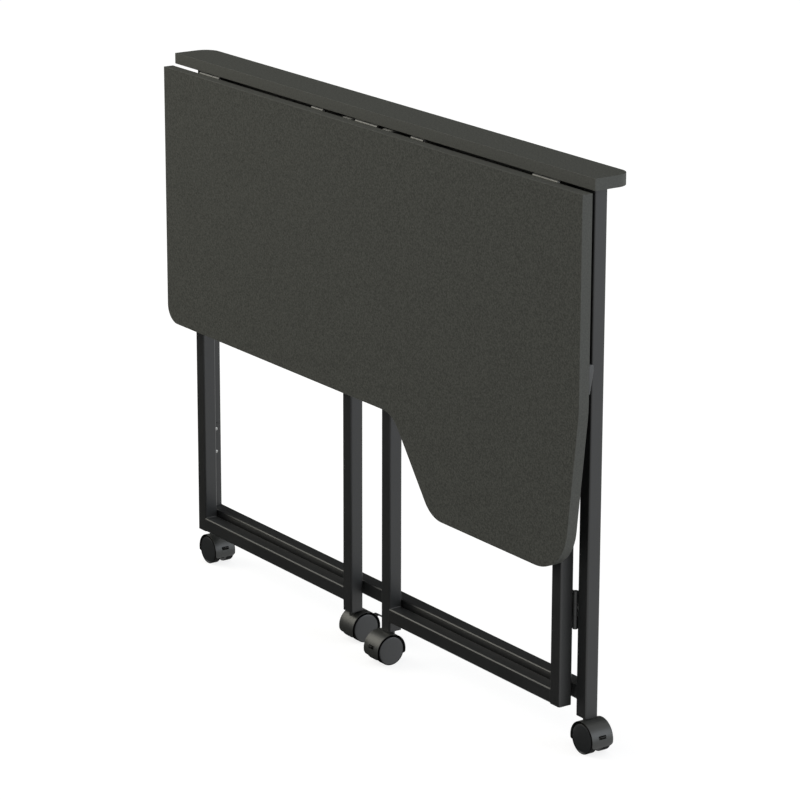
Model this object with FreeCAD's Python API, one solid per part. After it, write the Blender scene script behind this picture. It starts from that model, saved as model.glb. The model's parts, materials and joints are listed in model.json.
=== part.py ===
"""Folding corner desk, folded up.

A narrow top board stands on a welded rear frame of square steel tube. A large leaf with a tongue hangs from
it on butt hinges, in front of two tube gates that swing out to carry the leaf when it is raised. The rear
frame and the gates roll on hooded twin-wheel casters with brake levers.

Millimetres, +Z up, X along the width, the front at -Y, the origin on the floor under the middle.
"""
import FreeCAD, Part
import math
import os

# Boards
WIDTH = 960.0
HEIGHT = 744.0
BOARD = 15.0
EDGE_BAND = 1.0
STRIP_DEPTH = 58.0
STRIP_CORNER = 22.0

# Leaf, as drops below the hinge axis and distances from the middle
HINGE_DROP = 2.7
HINGE_SETOFF = 1.0
LEAF_TOP_RISE = 0.4
LEAF_SHORT = 367.3
LEAF_LONG = 486.3
LEAF_CORNER = 25.0
NECK_X = 83.0
TONGUE_LEFT_X = 172.0
TONGUE_RIGHT_X = 453.5
NECK_RADIUS = 46.0
TONGUE_CORNER = 65.0
TAPER_DROP = 269.8
TAPER_RADIUS = 200.0

# Blocks under the leaf that stop the opened gates
STOP_DROPS = (211.8, 248.8)
STOP_WIDTH = 24.0
STOP_THICK = 7.0
STOP_THIN = 2.0
STOP_HEAD = 9.0
STOP_NOSE = 2.5
STOP_INSET = 0.4

# Square tube and the frames made of it
TUBE = 20.0
TUBE_WALL = 1.2
TUBE_CORNER = 2.5
POST_FOOT = 45.0
REAR_OUT = 454.0
REAR_SETBACK = 20.0
REAR_RAIL_FOOT = 65.5
GATE_OUT = 430.0
GATE_IN = 36.0
GATE_SETBACK = -3.2
GATE_RAIL_FOOT = 57.5
GATE_RAIL_TOP = 710.0
GATE_PEAK = 727.0
PEAK_PAD = 2.0
PLUG_LENGTH = 10.0

# Leaf hinges: place along the width, and length
LONG_HINGE = 50.0
SHORT_HINGE = 27.0
LEAF_HINGES = ((-385.0, LONG_HINGE), (0.0, LONG_HINGE), (385.0, LONG_HINGE),
               (-115.0, SHORT_HINGE), (115.0, SHORT_HINGE))
LEAF_KNUCKLE = 2.5
LEAF_PLATE = 1.2
LEAF_PLATE_REACH = 15.0

# Gate hinges, screwed to the tubes
GATE_HINGE_HEIGHTS = (184.0, 600.0)
GATE_HINGE = 50.0
GATE_KNUCKLE = 3.2
GATE_PLATE = 1.4
GATE_PLATE_REACH = 17.0

# What all the hinges share
KNUCKLES = 3
OUTER_KNUCKLES = (0, 2)
INNER_KNUCKLES = (1,)
PIN_RADIUS = 1.5
RUNNING_FIT = 0.05
KNUCKLE_GAP = 0.4
SWING_CLEARANCE = 0.4

# Screws, with few sides because there are many of them
SCREW_SIDES = 8
SCREW_RADIUS = 1.6
SCREW_HEAD = 3.0
SCREW_BITE = 10.0
SCREW_SPREAD = 0.34
SCREW_SETBACK = 0.68
PAN_HEAD = 2.5
PAN_HEIGHT = 1.6
PAN_BITE = 3.0
BOARD_SCREW_RADIUS = 2.0
BOARD_SCREW_HEAD = 4.0
BOARD_SCREW_HEAD_HEIGHT = 2.4
BOARD_SCREW_BITE = 11.0
BOARD_SCREW_PLACES = (-300.0, -60.0, 60.0, 300.0)

# Casters, with the axle as the middle of each and the trail pointing along +X
CASTER_TRAIL = 11.0
WHEEL_RADIUS = 20.0
WHEEL_INNER = 5.7
WHEEL_OUTER = 16.6
AXLE_RADIUS = 2.5
AXLE_HALF = 13.4
HOOD_INNER = 20.8
HOOD_OUTER = 23.0
HOOD_HALF = 16.6
HOOD_END_ANGLE = 20.0
WEB_HALF = 5.2
WEB_EDGES = (-16.5, 10.0)
WEB_FOOT = -5.5
STEM_RADIUS = 3.5
STEM_FOOT = 27.0
STEM_COLLAR = 4.8
STEM_COLLAR_TOP = 43.4
END_PLAY = 0.3
SOCKET_FLANGE = 1.0
SOCKET_LENGTH = 30.0
FLANGE_SIDE = 18.5
PIVOT = (7.0, 7.0)
PIVOT_RADIUS = 1.2
LEVER_BUTT = 2.6
LEVER_ARM_HALF = 1.5
LEVER_TAB_HALF = 5.0
LEVER_THICK = 2.2
LEVER_DIP = (15.0, 5.0)
LEVER_REACH = (25.4, 7.2)
LEVER_TAB_START = 11.5
LEVER_PLAY = 0.3
LEVER_SWING_ROOM = 0.9
SLOT_HALF = 5.6
SLOT_HEIGHTS = (2.8, 8.2)

# Places that follow from the driving dimensions
TUBE_HALF = TUBE / 2
TUBE_BORE = TUBE - 2 * TUBE_WALL
GATE_MIDDLE = GATE_SETBACK + TUBE_HALF
FRONT_REACH = CASTER_TRAIL + LEVER_REACH[0] - GATE_MIDDLE
STRIP_FRONT = (FRONT_REACH - STRIP_DEPTH) / 2
STRIP_FOOT = HEIGHT - BOARD
AXIS_Y = STRIP_FRONT - HINGE_SETOFF
AXIS_Z = STRIP_FOOT - HINGE_DROP
LEAF_BACK = AXIS_Y - HINGE_DROP
LEAF_FRONT = LEAF_BACK - BOARD
REAR_Y = STRIP_FRONT + REAR_SETBACK + TUBE_HALF
GATE_Y = STRIP_FRONT + GATE_MIDDLE
REAR_X = REAR_OUT - TUBE_HALF
GATE_OUTER_X = GATE_OUT - TUBE_HALF
GATE_INNER_X = GATE_IN + TUBE_HALF
GATE_AXIS_X = (GATE_OUT + REAR_OUT - TUBE) / 2
GATE_AXIS_Y = (GATE_Y + REAR_Y) / 2
SIDES = (("left", -1), ("right", 1))


def point(x, y, z):
    return FreeCAD.Vector(x, y, z)


def rounded_wire(corners, place):
    """Closed outline through (a, b, radius) corners, with an arc at each corner that has a radius."""
    ends = []
    count = len(corners)
    for i, (a, b, radius) in enumerate(corners):
        corner = FreeCAD.Vector(a, b, 0)
        before = FreeCAD.Vector(*corners[i - 1][:2], 0) - corner
        after = FreeCAD.Vector(*corners[(i + 1) % count][:2], 0) - corner
        half = before.getAngle(after) / 2
        before.normalize()
        after.normalize()
        bisector = (before + after).normalize()
        cut = radius / math.tan(half)
        middle = corner + bisector * (radius / math.sin(half) - radius)
        ends.append((corner + before * cut, middle, corner + after * cut, radius))
    edges = []
    for i, (start, middle, stop, radius) in enumerate(ends):
        if radius:
            arc = [place(v.x, v.y) for v in (start, middle, stop)]
            edges.append(Part.Arc(*arc).toShape())
        following = ends[(i + 1) % count][0]
        edges.append(Part.LineSegment(place(stop.x, stop.y), place(following.x, following.y)).toShape())
    return Part.Wire(edges)


def rounded_face(corners, place):
    return Part.Face(rounded_wire(corners, place))


def square(side, corner):
    """Corners of a rounded square about the origin."""
    half = side / 2
    return [(-half, -half, corner), (half, -half, corner), (half, half, corner), (-half, half, corner)]


def upright(x, y, foot):
    """Place a flat outline level at one height."""
    return lambda a, b: point(x + a, y + b, foot)


def crosswise(x, y, z):
    """Place a flat outline across the width."""
    return lambda a, b: point(x, y + a, z + b)


def tube(place, run):
    """Square tube with rounded corners, from an outline at one end and the run to the other."""
    outer = rounded_face(square(TUBE, TUBE_CORNER), place)
    inner = rounded_face(square(TUBE_BORE, 0), place)
    return outer.cut(inner).extrude(run)


def post(x, y, foot, top):
    return tube(upright(x, y, foot), point(0, 0, top - foot))


def rail(x_start, x_stop, y, foot):
    return tube(crosswise(x_start, y, foot + TUBE_HALF), point(x_stop - x_start, 0, 0))


def peg(radius, length, base, direction):
    return Part.makeCylinder(radius, length, base, direction)


def block(low, high):
    """Box between two opposite corners."""
    size = point(*high) - point(*low)
    return Part.makeBox(size.x, size.y, size.z, point(*low))


def placed(shape, origin, y_axis, z_axis):
    """Copy of a shape whose own Y and Z axes are turned to two given directions."""
    x_axis = y_axis.cross(z_axis)
    turn = FreeCAD.Matrix(x_axis.x, y_axis.x, z_axis.x, origin.x,
                          x_axis.y, y_axis.y, z_axis.y, origin.y,
                          x_axis.z, y_axis.z, z_axis.z, origin.z,
                          0, 0, 0, 1)
    copy = shape.copy()
    copy.Placement = FreeCAD.Placement(turn) * shape.Placement
    return copy


def polygon(radius, height):
    """Level outline of a screw at one height."""
    turns = [2 * math.pi * i / SCREW_SIDES for i in range(SCREW_SIDES + 1)]
    return Part.makePolygon([point(radius * math.cos(t), radius * math.sin(t), height) for t in turns])


def shank(radius, foot, length):
    return Part.Face(polygon(radius, foot)).extrude(point(0, 0, length))


def countersunk_screw():
    """Screw with its head's face at Z 0 and its shank along +Z."""
    head = Part.makeLoft([polygon(SCREW_HEAD, 0), polygon(SCREW_RADIUS, LEAF_PLATE)], True, True)
    return head.fuse(shank(SCREW_RADIUS, LEAF_PLATE, SCREW_BITE)).removeSplitter()


def pan_head_screw():
    """Screw with a raised head that stands on Z 0, and its shank along +Z into the tube."""
    head = shank(PAN_HEAD, -PAN_HEIGHT, PAN_HEIGHT)
    return head.fuse(shank(SCREW_RADIUS, 0, GATE_PLATE + TUBE_WALL + PAN_BITE)).removeSplitter()


def hinge_plate(length, own, radius, thick, offset, reach, bore):
    """Hinge plate about the X axis, lying along +Y, with its back at Z offset.

    The plate carries the knuckles whose numbers are in own, and is cut away round the others.
    """
    step = length / KNUCKLES
    edge = radius + SWING_CLEARANCE
    low = offset - thick
    plate = block((-length / 2, edge, low), (length / 2, reach, offset))
    for i in own:
        start = -length / 2 + i * step + (KNUCKLE_GAP / 2 if i else 0)
        stop = -length / 2 + (i + 1) * step - (KNUCKLE_GAP / 2 if i < KNUCKLES - 1 else 0)
        neck = block((start, 0, low), (stop, edge, offset))
        barrel = peg(radius, stop - start, point(start, 0, 0), point(1, 0, 0))
        plate = plate.fuse([neck, barrel])
    return plate.cut(peg(bore, length, point(-length / 2, 0, 0), point(1, 0, 0))).removeSplitter()


def screw_pair(screw, length, reach, height):
    """Two copies of a screw in a hinge plate of a length and reach, in that plate's own place."""
    places = [point(side * length * SCREW_SPREAD, reach * SCREW_SETBACK, height) for side in (-1, 1)]
    return [screw.translated(place) for place in places]


def leaf_hinges():
    """Plates, pins and screws of the hinges between top board and leaf."""
    groups = {"board_plates": [], "leaf_plates": [], "pins": [], "board_screws": [], "leaf_screws": []}
    back = point(0, 1, 0)
    forward = point(0, -1, 0)
    up = point(0, 0, 1)
    down = point(0, 0, -1)
    sizes = (LEAF_KNUCKLE, LEAF_PLATE, HINGE_DROP, LEAF_PLATE_REACH)
    for x, length in LEAF_HINGES:
        middle = point(x, AXIS_Y, AXIS_Z)
        screws = screw_pair(countersunk_screw(), length, LEAF_PLATE_REACH, HINGE_DROP - LEAF_PLATE)
        fixed = hinge_plate(length, OUTER_KNUCKLES, *sizes, PIN_RADIUS).cut(screws)
        moving = hinge_plate(length, INNER_KNUCKLES, *sizes, PIN_RADIUS + RUNNING_FIT).cut(screws)
        groups["board_plates"].append(placed(fixed, middle, back, up))
        groups["leaf_plates"].append(placed(moving, middle, down, forward))
        groups["pins"].append(peg(PIN_RADIUS, length, point(x - length / 2, AXIS_Y, AXIS_Z), point(1, 0, 0)))
        groups["board_screws"] += [placed(screw, middle, back, up) for screw in screws]
        groups["leaf_screws"] += [placed(screw, middle, down, forward) for screw in screws]
    return groups


def gate_leaf(own, offset):
    """One plate of a gate hinge with its back at Z offset, and the screws through it into the tube."""
    screws = screw_pair(pan_head_screw(), GATE_HINGE, GATE_PLATE_REACH, offset - GATE_PLATE)
    plate = hinge_plate(GATE_HINGE, own, GATE_KNUCKLE, GATE_PLATE, offset, GATE_PLATE_REACH, PIN_RADIUS)
    return plate.cut(screws), screws


def gate_hinges():
    """Plates, pins and screws of the hinges between the rear posts' inner sides and the gates' backs."""
    groups = {"post_plates": [], "gate_plates": [], "pins": [], "post_screws": [], "gate_screws": []}
    back = point(0, 1, 0)
    forward = point(0, -1, 0)
    fixed, fixed_screws = gate_leaf(OUTER_KNUCKLES, REAR_OUT - TUBE - GATE_AXIS_X)
    swung, swung_screws = gate_leaf(INNER_KNUCKLES, GATE_AXIS_Y - GATE_Y - TUBE_HALF)
    for _, side in SIDES:
        outward = point(side, 0, 0)
        inward = point(-side, 0, 0)
        for height in GATE_HINGE_HEIGHTS:
            middle = point(side * GATE_AXIS_X, GATE_AXIS_Y, height)
            groups["post_plates"].append(placed(fixed, middle, back, outward))
            groups["post_screws"] += [placed(screw, middle, back, outward) for screw in fixed_screws]
            groups["gate_plates"].append(placed(swung, middle, inward, forward))
            groups["gate_screws"] += [placed(screw, middle, inward, forward) for screw in swung_screws]
            foot = middle - point(0, 0, GATE_HINGE / 2)
            groups["pins"].append(peg(PIN_RADIUS, GATE_HINGE, foot, point(0, 0, 1)))
    return groups


def board_screws():
    """Long screws up through the rear top rail into the top board."""
    foot = STRIP_FOOT - TUBE
    head = shank(BOARD_SCREW_HEAD, foot - BOARD_SCREW_HEAD_HEIGHT, BOARD_SCREW_HEAD_HEIGHT)
    screw = head.fuse(shank(BOARD_SCREW_RADIUS, foot, TUBE + BOARD_SCREW_BITE)).removeSplitter()
    return [screw.translated(point(x, REAR_Y, 0)) for x in BOARD_SCREW_PLACES]


def banded(face, run):
    """A board and the edging round it, from the outline of both together."""
    core = face.makeOffset2D(-EDGE_BAND)
    return core.extrude(run), face.cut(core).extrude(run)


def top_board():
    half = WIDTH / 2
    back = STRIP_FRONT + STRIP_DEPTH
    corners = [(-half, STRIP_FRONT, 0), (half, STRIP_FRONT, 0),
               (half, back, STRIP_CORNER), (-half, back, STRIP_CORNER)]
    return banded(rounded_face(corners, upright(0, 0, STRIP_FOOT)), point(0, 0, BOARD))


def drop_leaf():
    half = WIDTH / 2
    top = AXIS_Z + LEAF_TOP_RISE
    short = AXIS_Z - LEAF_SHORT
    long = AXIS_Z - LEAF_LONG
    corners = [(-half, top, 0), (-half, short, LEAF_CORNER),
               (NECK_X, short, NECK_RADIUS), (TONGUE_LEFT_X, long, NECK_RADIUS),
               (TONGUE_RIGHT_X, long, TONGUE_CORNER), (half, AXIS_Z - TAPER_DROP, TAPER_RADIUS),
               (half, top, 0)]
    face = rounded_face(corners, lambda a, b: point(a, LEAF_FRONT, b))
    return banded(face, point(0, BOARD, 0))


def gate_stops():
    """Tapered blocks on the leaf's back, one near each end."""
    top, foot = (AXIS_Z - drop for drop in STOP_DROPS)
    corners = [(0, foot, 0), (STOP_THIN, foot, 0), (STOP_THICK, top - STOP_HEAD, STOP_NOSE),
               (STOP_THICK, top, STOP_NOSE), (0, top, 0)]
    stops = []
    for _, side in SIDES:
        start = side * (WIDTH / 2 - STOP_INSET)
        face = rounded_face(corners, crosswise(start, LEAF_BACK, 0))
        stops.append(face.extrude(point(-side * STOP_WIDTH, 0, 0)))
    return stops


def plug(x, y, foot, top, side=TUBE_BORE):
    """Square plug that fills an upright tube, or a plate of another side."""
    return rounded_face(square(side, 0), upright(x, y, foot)).extrude(point(0, 0, top - foot))


def tube_end_plugs():
    """Plugs flush with the gates' outer posts, and padded ones on top of the inner posts."""
    plugs = []
    tube_top = GATE_PEAK - PEAK_PAD
    for _, side in SIDES:
        outer = side * GATE_OUTER_X
        inner = side * GATE_INNER_X
        plugs.append(plug(outer, GATE_Y, GATE_RAIL_FOOT, GATE_RAIL_FOOT + PLUG_LENGTH))
        plugs.append(plug(outer, GATE_Y, GATE_RAIL_TOP - PLUG_LENGTH, GATE_RAIL_TOP))
        pad = plug(inner, GATE_Y, tube_top, GATE_PEAK, FLANGE_SIDE)
        plugs.append(plug(inner, GATE_Y, tube_top - PLUG_LENGTH, tube_top).fuse(pad).removeSplitter())
    return plugs


def caster_socket(x, y):
    """Sleeve in the foot of a post that grips the caster's stem."""
    flange = plug(x, y, POST_FOOT - SOCKET_FLANGE, POST_FOOT, FLANGE_SIDE)
    sleeve = plug(x, y, POST_FOOT, POST_FOOT + SOCKET_LENGTH)
    bore = peg(STEM_RADIUS, HEIGHT, point(x, y, 0), point(0, 0, 1))
    return flange.fuse(sleeve).cut(bore).removeSplitter()


def caster_stem(x, y):
    """Steel pin in the socket that the hood turns about."""
    foot = STEM_FOOT + END_PLAY
    return peg(STEM_RADIUS, POST_FOOT + SOCKET_LENGTH - foot, point(x, y, foot), point(0, 0, 1))


def sidelong(a, b):
    """Place a flat outline on a caster's middle plane, with the axle at its origin."""
    return point(a, 0, WHEEL_RADIUS + b)


def thickened(face, half):
    """Solid of a middle-plane face, the same depth to both sides."""
    return face.translated(point(0, -half, 0)).extrude(point(0, 2 * half, 0))


def across(radius, half, a=0.0, b=0.0):
    """Cylinder along the axle's direction about one point of the middle plane."""
    return peg(radius, 2 * half, sidelong(a, b) - point(0, half, 0), point(0, 1, 0))


def caster_hood():
    """Cover over both wheels, with the web between them that holds axle, stem and brake lever."""
    end = math.radians(HOOD_END_ANGLE)
    turns = (-end, math.pi / 2, math.pi + end)
    outer = [sidelong(HOOD_OUTER * math.cos(t), HOOD_OUTER * math.sin(t)) for t in turns]
    inner = [sidelong(HOOD_INNER * math.cos(t), HOOD_INNER * math.sin(t)) for t in turns]
    edges = [Part.Arc(*outer).toShape(), Part.LineSegment(outer[2], inner[2]).toShape(),
             Part.Arc(*inner).toShape(), Part.LineSegment(inner[0], outer[0]).toShape()]
    cover = thickened(Part.Face(Part.Wire(edges)), HOOD_HALF)
    lead, trail = WEB_EDGES
    web = across((HOOD_INNER + HOOD_OUTER) / 2, WEB_HALF)
    web = web.common(block((lead, -WEB_HALF, WHEEL_RADIUS + WEB_FOOT), (trail, WEB_HALF, HEIGHT)))
    stem = point(-CASTER_TRAIL, 0, STEM_FOOT)
    collar = peg(STEM_COLLAR, STEM_COLLAR_TOP - STEM_FOOT, stem, point(0, 0, 1))
    bore = peg(STEM_RADIUS + RUNNING_FIT, HEIGHT, stem, point(0, 0, 1))
    a, b = PIVOT
    arm_room = LEVER_ARM_HALF + LEVER_PLAY
    butt_room = LEVER_BUTT + LEVER_SWING_ROOM
    cheeks = block((a - butt_room, -arm_room, WHEEL_RADIUS + b - butt_room),
                   (HOOD_INNER, arm_room, WHEEL_RADIUS + b + butt_room))
    low, high = SLOT_HEIGHTS
    slot = block((trail, -SLOT_HALF, WHEEL_RADIUS + low), (2 * HOOD_OUTER, SLOT_HALF, WHEEL_RADIUS + high))
    web = web.fuse(collar).cut([cheeks, across(AXLE_RADIUS, HOOD_HALF)])
    hood = cover.cut(slot).fuse([web, across(PIVOT_RADIUS, WEB_HALF, a, b)])
    return hood.cut(bore).removeSplitter()


def caster_wheel(side):
    """One moulded wheel, closed outside, with a blind bore for the axle."""
    bore = AXLE_RADIUS + RUNNING_FIT
    bore_end = AXLE_HALF + END_PLAY
    path = [(0, bore_end), (bore, bore_end), (bore, WHEEL_INNER), (WHEEL_RADIUS, WHEEL_INNER),
            (WHEEL_RADIUS, WHEEL_OUTER), (0, WHEEL_OUTER), (0, bore_end)]
    spots = [point(r, side * w, WHEEL_RADIUS) for r, w in path]
    half_section = Part.Face(Part.makePolygon(spots))
    return half_section.revolve(point(0, 0, WHEEL_RADIUS), point(0, 1, 0), 360)


def brake_lever():
    """Lever that turns on the web's pivot, with a broad tab standing out of the hood's slot."""
    a, b = PIVOT
    half = LEVER_THICK / 2
    dip_a, dip_b = LEVER_DIP
    tip_a, tip_b = LEVER_REACH
    arm = rounded_face([(a - LEVER_BUTT, b - LEVER_BUTT, 0), (a, b - LEVER_BUTT, 0), (dip_a, dip_b - half, 0),
                        (dip_a, dip_b + half, 0), (a, b + LEVER_BUTT, 0), (a - LEVER_BUTT, b + LEVER_BUTT, 0)],
                       sidelong)
    start_b = b + (dip_b - b) * (LEVER_TAB_START - a) / (dip_a - a)
    tab = rounded_face([(LEVER_TAB_START, start_b - half, 0), (dip_a, dip_b - half, 0), (tip_a, tip_b - half, 0),
                        (tip_a, tip_b + half, 0), (dip_a, dip_b + half, 0), (LEVER_TAB_START, start_b + half, 0)],
                       sidelong)
    lever = thickened(arm, LEVER_ARM_HALF).fuse(thickened(tab, LEVER_TAB_HALF))
    return lever.cut(across(PIVOT_RADIUS + RUNNING_FIT, HOOD_HALF, a, b)).removeSplitter()


def casters():
    """The pieces of the four casters, each turned to its own heading about its stem."""
    pieces = {"hood": caster_hood(), "axle": across(AXLE_RADIUS, AXLE_HALF), "wheel_1": caster_wheel(-1),
              "wheel_2": caster_wheel(1), "brake_lever": brake_lever()}
    feet = {"rear_left": (-REAR_X, REAR_Y, 0), "rear_right": (REAR_X, REAR_Y, 0),
            "gate_left": (-GATE_INNER_X, GATE_Y, 90), "gate_right": (GATE_INNER_X, GATE_Y, -90)}
    nodes = {}
    for foot, (x, y, heading) in feet.items():
        for piece, shape in pieces.items():
            copy = shape.translated(point(CASTER_TRAIL, 0, 0))
            copy.rotate(point(0, 0, 0), point(0, 0, 1), heading)
            nodes["caster_%s_%s" % (foot, piece)] = copy.translated(point(x, y, 0))
    nodes["caster_sockets"] = Part.makeCompound([caster_socket(x, y) for x, y, _ in feet.values()])
    nodes["caster_stems"] = Part.makeCompound([caster_stem(x, y) for x, y, _ in feet.values()])
    return nodes


def frames(long_screws, post_screws, gate_screws):
    """Tubes of the rear frame and the two gates."""
    nodes = {}
    inside = REAR_OUT - TUBE
    nodes["rear_top_rail"] = rail(-inside, inside, REAR_Y, STRIP_FOOT - TUBE).cut(long_screws)
    nodes["rear_bottom_rail"] = rail(-inside, inside, REAR_Y, REAR_RAIL_FOOT)
    for name, side in SIDES:
        nodes["rear_post_%s" % name] = post(side * REAR_X, REAR_Y, POST_FOOT, STRIP_FOOT).cut(post_screws)
        gate = "gate_%s_" % name
        outer = post(side * GATE_OUTER_X, GATE_Y, GATE_RAIL_FOOT, GATE_RAIL_TOP)
        nodes[gate + "outer_post"] = outer.cut(gate_screws)
        nodes[gate + "inner_post"] = post(side * GATE_INNER_X, GATE_Y, POST_FOOT, GATE_PEAK - PEAK_PAD)
        ends = sorted((side * (GATE_IN + TUBE), side * (GATE_OUT - TUBE)))
        nodes[gate + "bottom_rail"] = rail(*ends, GATE_Y, GATE_RAIL_FOOT)
        nodes[gate + "top_rail"] = rail(*ends, GATE_Y, GATE_RAIL_TOP - TUBE)
    return nodes


def build():
    """All the nodes of the desk by name."""
    leaf_parts = leaf_hinges()
    gate_parts = gate_hinges()
    long_screws = board_screws()
    nodes = casters()
    nodes.update(frames(long_screws, gate_parts["post_screws"], gate_parts["gate_screws"]))
    nodes["top_board"], nodes["top_board_edge_band"] = top_board()
    nodes["drop_leaf"], nodes["drop_leaf_edge_band"] = drop_leaf()
    groups = {"top_board_screws": long_screws, "gate_stops": gate_stops(), "tube_end_plugs": tube_end_plugs()}
    groups.update({"leaf_hinge_%s" % name: solids for name, solids in leaf_parts.items()})
    groups.update({"gate_hinge_%s" % name: solids for name, solids in gate_parts.items()})
    nodes.update({name: Part.makeCompound(solids) for name, solids in groups.items()})
    return nodes


def main():
    os.makedirs("parts", exist_ok=True)
    for name, shape in sorted(build().items()):
        solids = shape.Solids
        sound = all(solid.isValid() and solid.isClosed() for solid in solids)
        print("%-30s %2d solid(s) %11.1f mm3 %s" % (name, len(solids), shape.Volume, "" if sound else "BROKEN"))
        shape.exportStep("parts/%s.step" % name)


main()
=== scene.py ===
"""Folding corner desk, folded up: finishes and fine shapes over the desk's solid model.

Lengths are metres. X runs along the width, the front is at -Y, the floor is at Z 0.
"""
import json
import math

import bmesh
import bpy
from bpy.props import FloatProperty, FloatVectorProperty, IntProperty, PointerProperty
from mathutils import Matrix, Vector


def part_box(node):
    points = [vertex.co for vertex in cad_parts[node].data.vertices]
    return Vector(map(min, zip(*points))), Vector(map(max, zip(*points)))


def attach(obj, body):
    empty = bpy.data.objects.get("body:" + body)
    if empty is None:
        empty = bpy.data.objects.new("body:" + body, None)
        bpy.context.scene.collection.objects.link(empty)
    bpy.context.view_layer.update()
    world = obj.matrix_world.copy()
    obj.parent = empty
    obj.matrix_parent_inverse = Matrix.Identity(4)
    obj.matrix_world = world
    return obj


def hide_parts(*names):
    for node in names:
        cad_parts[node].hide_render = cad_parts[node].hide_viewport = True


bl_info = {
    "name": "Folding corner desk",
    "version": (1, 0, 0),
    "blender": (4, 5, 0),
    "location": "View3D > Sidebar > Desk",
    "description": "Builds a folding corner desk on hooded casters, folded up",
    "category": "Object",
}

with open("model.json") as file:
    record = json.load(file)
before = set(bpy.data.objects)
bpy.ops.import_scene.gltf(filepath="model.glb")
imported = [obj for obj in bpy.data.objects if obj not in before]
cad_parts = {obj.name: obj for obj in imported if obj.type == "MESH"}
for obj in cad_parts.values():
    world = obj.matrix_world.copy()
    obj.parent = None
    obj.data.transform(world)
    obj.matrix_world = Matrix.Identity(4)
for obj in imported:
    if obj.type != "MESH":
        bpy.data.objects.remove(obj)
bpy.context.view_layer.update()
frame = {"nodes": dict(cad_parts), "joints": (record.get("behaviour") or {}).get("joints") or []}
JOINTS = {joint["name"]: Vector(joint["pos_m"]) for joint in frame["joints"]}
FEET = ("rear_left", "rear_right", "gate_left", "gate_right")
MM = 0.001
UP = Vector((0, 0, 1))


# Values that a user may change

def linear(code):
    """Linear colour, with full alpha, of an sRGB hex value."""
    parts = [int(code[i:i + 2], 16) / 255 for i in (1, 3, 5)]
    return [c / 12.92 if c <= 0.04045 else ((c + 0.055) / 1.055) ** 2.4 for c in parts] + [1.0]


def length(name, description, millimetres):
    """A size, shown in the scene's units."""
    return FloatProperty(name=name, description=description, default=millimetres * MM, min=0.0,
                         subtype="DISTANCE", unit="LENGTH", precision=5)


def angle(name, description, degrees):
    """An angle."""
    return FloatProperty(name=name, description=description, default=math.radians(degrees),
                         subtype="ANGLE", unit="ROTATION")


def share(name, description, default):
    """A share from nought to one."""
    return FloatProperty(name=name, description=description, default=default, min=0.0, max=1.0,
                         subtype="FACTOR")


def position(name, description, metres):
    """A place in the scene."""
    return FloatVectorProperty(name=name, description=description, default=metres,
                               subtype="TRANSLATION", unit="LENGTH")


def power(name, description, watts):
    """The power of a lamp."""
    return FloatProperty(name=name, description=description, default=watts, min=0.0, unit="POWER")


def colour(name, description, code):
    """A colour."""
    return FloatVectorProperty(name=name, description=description, default=linear(code), size=4,
                               min=0.0, max=1.0, subtype="COLOR")


class DeskBoardSizes(bpy.types.PropertyGroup):
    """Sizes of the two boards and the blocks on the leaf."""
    band: length("Edging", "Thickness of the plastic edging", 1.0)
    arris: length("Arris", "Rounding of the edging's two arrises", 0.2)
    seam: length("Seam", "Width of the joint between laminate and edging", 0.12)
    strip_corner: length("Strip corner", "Radius of the top board's rear corners", 22.0)
    leaf_corner: length("Leaf corner", "Radius of the leaf's lower left corner", 25.0)
    leaf_short: length("Short drop", "From the leaf's top edge to its short lower edge", 367.7)
    neck: length("Neck", "From the middle to where the tongue starts", 83.0)
    neck_radius: length("Neck radius", "Radius of the curves into and out of the tongue's left side", 46.0)
    tongue_left: length("Tongue left", "From the middle to the tongue's lower left corner", 172.0)
    tongue_right: length("Tongue right", "From the middle to the tongue's lower right corner", 453.5)
    tongue_corner: length("Tongue corner", "Radius of the tongue's lower right corner", 65.0)
    taper_drop: length("Taper drop", "From the leaf's top edge to where its right side turns inwards", 270.2)
    taper_radius: length("Taper radius", "Radius of the turn in the leaf's right side", 200.0)
    stop_round: length("Block rounding", "Rounding of the gate stops' edges", 0.8)


class DeskCasterSizes(bpy.types.PropertyGroup):
    """Sizes of the casters."""
    hood_radius: length("Hood radius", "Outside of the hood", 23.0)
    hood_wall: length("Hood wall", "Thickness of the hood", 2.2)
    hood_half: length("Hood half width", "From the middle to the hood's side", 16.4)
    hood_rim: length("Hood rim", "Rounding of the hood's side edges", 0.3)
    web_half: length("Web half width", "From the middle to the side of the web between the wheels", 5.2)
    wheel_radius: length("Wheel radius", "Outside of the tread", 20.0)
    wheel_inner: length("Wheel inside", "From the middle to the wheel's inner side", 5.7)
    wheel_outer: length("Wheel outside", "From the middle to the top of the wheel's cap", 16.6)
    cap_radius: length("Cap radius", "Radius of the wheel's domed cap", 19.5)
    cap_dome: length("Cap dome", "Height of the cap's dome", 1.0)
    tread_sink: length("Tread sink", "How far the tread's side lies inside the top of the cap", 0.5)
    lever_half: length("Tab half width", "From the middle to the side of the brake tab", 5.0)
    lever_thick: length("Tab thickness", "Thickness of the brake tab", 1.4)


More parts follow.
